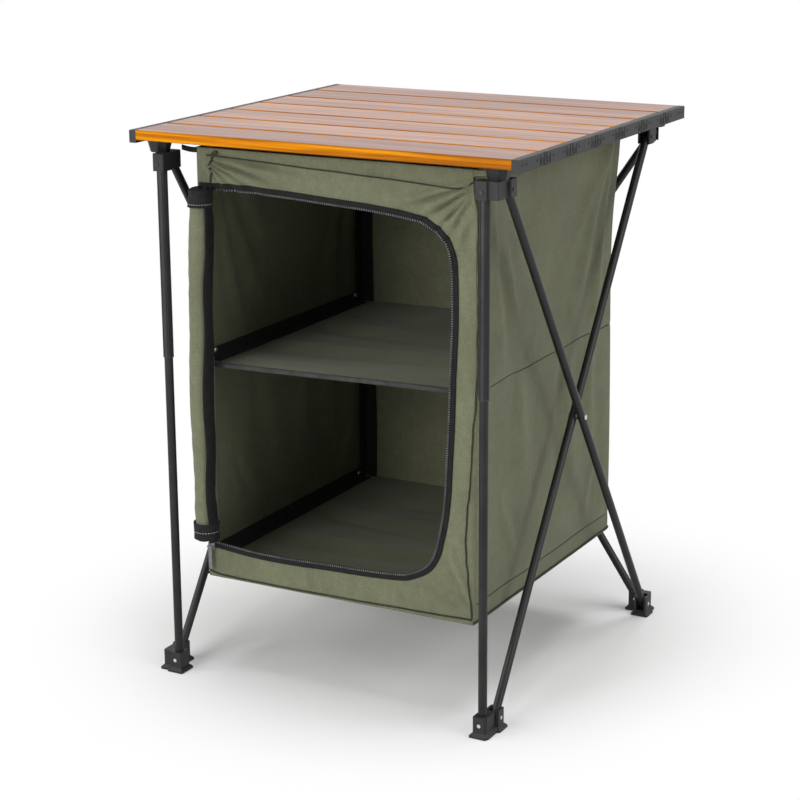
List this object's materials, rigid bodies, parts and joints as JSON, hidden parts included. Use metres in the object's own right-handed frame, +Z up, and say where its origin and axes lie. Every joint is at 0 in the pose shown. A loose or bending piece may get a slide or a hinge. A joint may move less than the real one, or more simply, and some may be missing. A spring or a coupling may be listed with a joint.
{
  "type": "folding camping table",
  "caption": "Folding camping table with a roll-up slatted wood top, a scissor frame of dark tubes and a zipped cloth cupboard with shelves hung inside.",
  "frame": {"origin": "on the floor, under the middle of the table", "axes": "+X to the user's right, +Y to the back, +Z up"},
  "size_m": [0.6, 0.5886, 0.798],
  "materials": {
    "slat_wood": "gloss lacquer",
    "cap_plastic": "moulded",
    "joint_plastic": "moulded",
    "rivet_steel": "bright",
    "brace_tube": "satin black coat",
    "leg_upper_tube": "satin powder coat",
    "leg_lower_tube": "satin powder coat",
    "cloth_green": "woven",
    "shelf_cloth": "woven over a stiff board",
    "webbing_black": "ribbed webbing",
    "zip_black": "zip tape",
    "zip_metal": "satin black",
    "zip_pull": "soft moulded"
  },
  "bodies": {
    "foot_bl": {"foot_bl": "joint_plastic", "foot_bl_rivets": "rivet_steel"},
    "foot_br": {"foot_br": "joint_plastic", "foot_br_rivets": "rivet_steel"},
    "foot_fl": {"foot_fl": "joint_plastic", "foot_fl_rivets": "rivet_steel", "leg_fl_lower": "leg_lower_tube"},
    "foot_fr": {"foot_fr": "joint_plastic", "foot_fr_rivets": "rivet_steel", "leg_fr_lower": "leg_lower_tube"},
    "hub_bl": {"hub_bl": "joint_plastic", "hub_bl_rivets": "rivet_steel", "wall_left": "cloth_green", "wall_back": "cloth_green", "roof_panel": "cloth_green", "floor_shelf": "shelf_cloth", "mid_shelf": "shelf_cloth", "shelf_rails": "webbing_black", "shelf_rivets": "rivet_steel", "corner_straps": "webbing_black"},
    "hub_br": {"hub_br": "joint_plastic", "hub_br_rivets": "rivet_steel", "wall_right": "cloth_green"},
    "hub_fl": {"hub_fl": "joint_plastic", "hub_fl_rivets": "rivet_steel", "leg_fl_upper": "leg_upper_tube", "front_panel": "cloth_green", "zip_tape": "zip_black", "door_roll": "cloth_green", "door_ties": "webbing_black"},
    "hub_fr": {"hub_fr": "joint_plastic", "hub_fr_rivets": "rivet_steel", "leg_fr_upper": "leg_upper_tube"},
    "back_brace_a": {"back_brace_a": "brace_tube"},
    "back_brace_b": {"back_brace_b": "brace_tube", "back_pivot": "rivet_steel"},
    "left_brace_a": {"left_brace_a": "brace_tube"},
    "left_brace_b": {"left_brace_b": "brace_tube", "left_pivot": "rivet_steel"},
    "right_brace_a": {"right_brace_a": "brace_tube"},
    "right_brace_b": {"right_brace_b": "brace_tube", "right_pivot": "rivet_steel"},
    "zip_slider": {"zip_slider": "zip_metal"},
    "zip_pull": {"zip_pull": "zip_pull"},
    "slat_1": {"slat_1": "slat_wood", "slat_1_caps": "cap_plastic"},
    "slat_2": {"slat_2": "slat_wood", "slat_2_caps": "cap_plastic"},
    "slat_3": {"slat_3": "slat_wood", "slat_3_caps": "cap_plastic"},
    "slat_4": {"slat_4": "slat_wood", "slat_4_caps": "cap_plastic"},
    "slat_5": {"slat_5": "slat_wood", "slat_5_caps": "cap_plastic"},
    "slat_6": {"slat_6": "slat_wood", "slat_6_caps": "cap_plastic"},
    "slat_7": {"slat_7": "slat_wood", "slat_7_caps": "cap_plastic"}
  },
  "joints": [
    {"name": "fold", "type": "hinge", "parent": "foot_bl", "child": "back_brace_b", "pos_m": [-0.25, 0.2805, 0.018], "axis": [0, -1, 0], "range_deg": [0, 29], "deforming": ["wall_left", "wall_right", "wall_back", "roof_panel", "front_panel", "floor_shelf", "mid_shelf", "shelf_rails", "shelf_rivets", "corner_straps", "door_roll", "door_ties", "zip_tape"]},
    {"name": "back_cross", "type": "hinge", "parent": "back_brace_b", "child": "back_brace_a", "pos_m": [0, 0.274, 0.386], "axis": [0, 1, 0], "range_deg": [0, 58]},
    {"name": "hub_bl_pin", "type": "hinge", "parent": "back_brace_a", "child": "hub_bl", "pos_m": [-0.25, 0.2675, 0.754], "axis": [0, -1, 0], "range_deg": [0, 29]},
    {"name": "foot_br_pin", "type": "hinge", "parent": "back_brace_a", "child": "foot_br", "pos_m": [0.25, 0.2675, 0.018], "axis": [0, -1, 0], "range_deg": [0, 29]},
    {"name": "hub_br_pin", "type": "hinge", "parent": "back_brace_b", "child": "hub_br", "pos_m": [0.25, 0.2805, 0.754], "axis": [0, 1, 0], "range_deg": [0, 29]},
    {"name": "left_foot_pin", "type": "hinge", "parent": "foot_bl", "child": "left_brace_b", "pos_m": [-0.254, 0.25, 0.018], "axis": [-1, 0, 0], "range_deg": [0, 29]},
    {"name": "left_cross", "type": "hinge", "parent": "left_brace_b", "child": "left_brace_a", "pos_m": [-0.2605, 0, 0.386], "axis": [1, 0, 0], "range_deg": [0, 58]},
    {"name": "foot_fl_pin", "type": "hinge", "parent": "left_brace_a", "child": "foot_fl", "pos_m": [-0.267, -0.25, 0.018], "axis": [-1, 0, 0], "range_deg": [0, 29]},
    {"name": "hub_fl_pin", "type": "hinge", "parent": "left_brace_b", "child": "hub_fl", "pos_m": [-0.254, -0.25, 0.754], "axis": [1, 0, 0], "range_deg": [0, 29]},
    {"name": "right_foot_pin", "type": "hinge", "parent": "foot_br", "child": "right_brace_b", "pos_m": [0.267, 0.25, 0.018], "axis": [-1, 0, 0], "range_deg": [0, 29]},
    {"name": "right_cross", "type": "hinge", "parent": "right_brace_b", "child": "right_brace_a", "pos_m": [0.2605, 0, 0.386], "axis": [1, 0, 0], "range_deg": [0, 58]},
    {"name": "foot_fr_pin", "type": "hinge", "parent": "right_brace_a", "child": "foot_fr", "pos_m": [0.254, -0.25, 0.018], "axis": [-1, 0, 0], "range_deg": [0, 29]},
    {"name": "hub_fr_pin", "type": "hinge", "parent": "right_brace_b", "child": "hub_fr", "pos_m": [0.267, -0.25, 0.754], "axis": [1, 0, 0], "range_deg": [0, 29]},
    {"name": "top_lift", "type": "slide", "parent": "hub_bl", "child": "slat_4", "axis": [0, 0, 1], "range_m": [0, 0.55]},
    {"name": "slat_3_roll", "type": "hinge", "parent": "slat_4", "child": "slat_3", "pos_m": [0, -0.041, 0.7845], "axis": [1, 0, 0], "range_deg": [0, 50]},
    {"name": "slat_2_roll", "type": "hinge", "parent": "slat_3", "child": "slat_2", "pos_m": [0, -0.123, 0.7845], "axis": [1, 0, 0], "range_deg": [0, 50]},
    {"name": "slat_1_roll", "type": "hinge", "parent": "slat_2", "child": "slat_1", "pos_m": [0, -0.205, 0.7845], "axis": [1, 0, 0], "range_deg": [0, 50]},
    {"name": "slat_5_roll", "type": "hinge", "parent": "slat_4", "child": "slat_5", "pos_m": [0, 0.041, 0.7845], "axis": [-1, 0, 0], "range_deg": [0, 50]},
    {"name": "slat_6_roll", "type": "hinge", "parent": "slat_5", "child": "slat_6", "pos_m": [0, 0.123, 0.7845], "axis": [-1, 0, 0], "range_deg": [0, 50]},
    {"name": "slat_7_roll", "type": "hinge", "parent": "slat_6", "child": "slat_7", "pos_m": [0, 0.205, 0.7845], "axis": [-1, 0, 0], "range_deg": [0, 50]},
    {"name": "zip_slide", "type": "slide", "parent": "hub_fl", "child": "zip_slider", "axis": [1, 0, 0], "range_m": [0, 0.3]},
    {"name": "zip_pull_swing", "type": "hinge", "parent": "zip_slider", "child": "zip_pull", "pos_m": [-0.209, -0.2503, 0.1895], "axis": [-1, 0, 0], "range_deg": [0, 85]}
  ],
  "couplings": [
    {"joint": "back_cross", "follows": "fold", "ratio": 2},
    {"joint": "hub_bl_pin", "follows": "fold", "ratio": 1},
    {"joint": "foot_br_pin", "follows": "fold", "ratio": 1},
    {"joint": "hub_br_pin", "follows": "fold", "ratio": 1},
    {"joint": "left_foot_pin", "follows": "fold", "ratio": 1},
    {"joint": "left_cross", "follows": "fold", "ratio": 2},
    {"joint": "foot_fl_pin", "follows": "fold", "ratio": 1},
    {"joint": "hub_fl_pin", "follows": "fold", "ratio": 1},
    {"joint": "right_foot_pin", "follows": "fold", "ratio": 1},
    {"joint": "right_cross", "follows": "fold", "ratio": 2},
    {"joint": "foot_fr_pin", "follows": "fold", "ratio": 1},
    {"joint": "hub_fr_pin", "follows": "fold", "ratio": 1},
    {"joint": "slat_3_roll", "follows": "top_lift", "rad_per_m": 1.5866},
    {"joint": "slat_2_roll", "follows": "top_lift", "rad_per_m": 1.5866},
    {"joint": "slat_1_roll", "follows": "top_lift", "rad_per_m": 1.5866},
    {"joint": "slat_5_roll", "follows": "top_lift", "rad_per_m": 1.5866},
    {"joint": "slat_6_roll", "follows": "top_lift", "rad_per_m": 1.5866},
    {"joint": "slat_7_roll", "follows": "top_lift", "rad_per_m": 1.5866}
  ]
}
